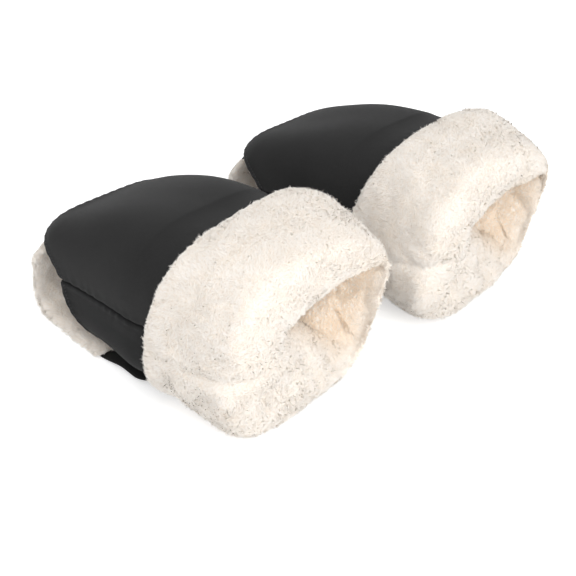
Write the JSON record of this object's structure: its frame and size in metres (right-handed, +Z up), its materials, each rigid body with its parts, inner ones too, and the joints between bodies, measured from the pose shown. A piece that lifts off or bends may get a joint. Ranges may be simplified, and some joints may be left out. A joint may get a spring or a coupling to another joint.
{
  "type": "stroller hand muff",
  "caption": "Pair of padded black hand muffs with thick cream plush cuffs and a lined wrap-round flap that closes with snaps.",
  "frame": {"origin": "middle of the pair, on the plane that the flaps' and cuffs' flat undersides lie on", "axes": "+X along the handlebar, -Y towards the hand openings, +Z up"},
  "size_m": [0.484, 0.292, 0.2034],
  "materials": {
    "shell": "smooth matt softshell",
    "fleece": "cream plush pile",
    "wadding": "needled wadding",
    "snap": "black moulded",
    "snap_metal": "nickel plated"
  },
  "bodies": {
    "left_muff": {"left_shell_top": "shell", "left_shell_bottom": "shell", "left_wadding_top": "wadding", "left_wadding_bottom": "wadding", "left_lining_top": "fleece", "left_lining_bottom": "fleece", "left_cuff": "fleece", "left_snap_stud_1": "snap_metal", "left_snap_plate_1": "snap_metal", "left_snap_stud_2": "snap_metal", "left_snap_plate_2": "snap_metal"},
    "left_flap": {"left_flap_shell": "shell", "left_flap_fleece": "fleece", "left_snap_cap_1": "snap", "left_snap_cap_2": "snap", "left_snap_socket_1": "snap_metal", "left_snap_socket_2": "snap_metal"},
    "right_muff": {"right_shell_top": "shell", "right_shell_bottom": "shell", "right_wadding_top": "wadding", "right_wadding_bottom": "wadding", "right_lining_top": "fleece", "right_lining_bottom": "fleece", "right_cuff": "fleece", "right_snap_stud_1": "snap_metal", "right_snap_plate_1": "snap_metal", "right_snap_stud_2": "snap_metal", "right_snap_plate_2": "snap_metal"},
    "right_flap": {"right_flap_shell": "shell", "right_flap_fleece": "fleece", "right_snap_cap_1": "snap", "right_snap_cap_2": "snap", "right_snap_socket_1": "snap_metal", "right_snap_socket_2": "snap_metal"}
  },
  "joints": [
    {"name": "left_flap_hinge", "type": "hinge", "parent": "left_muff", "child": "left_flap", "pos_m": [-0.1335, 0.146, 0.0886], "axis": [1, 0, 0], "range_deg": [0, 130]},
    {"name": "right_muff_slide", "type": "slide", "parent": "left_muff", "child": "right_muff", "axis": [1, 0, 0], "range_m": [-0.045, 0.1]},
    {"name": "right_flap_hinge", "type": "hinge", "parent": "right_muff", "child": "right_flap", "pos_m": [0.1335, 0.146, 0.0886], "axis": [1, 0, 0], "range_deg": [0, 130]}
  ]
}
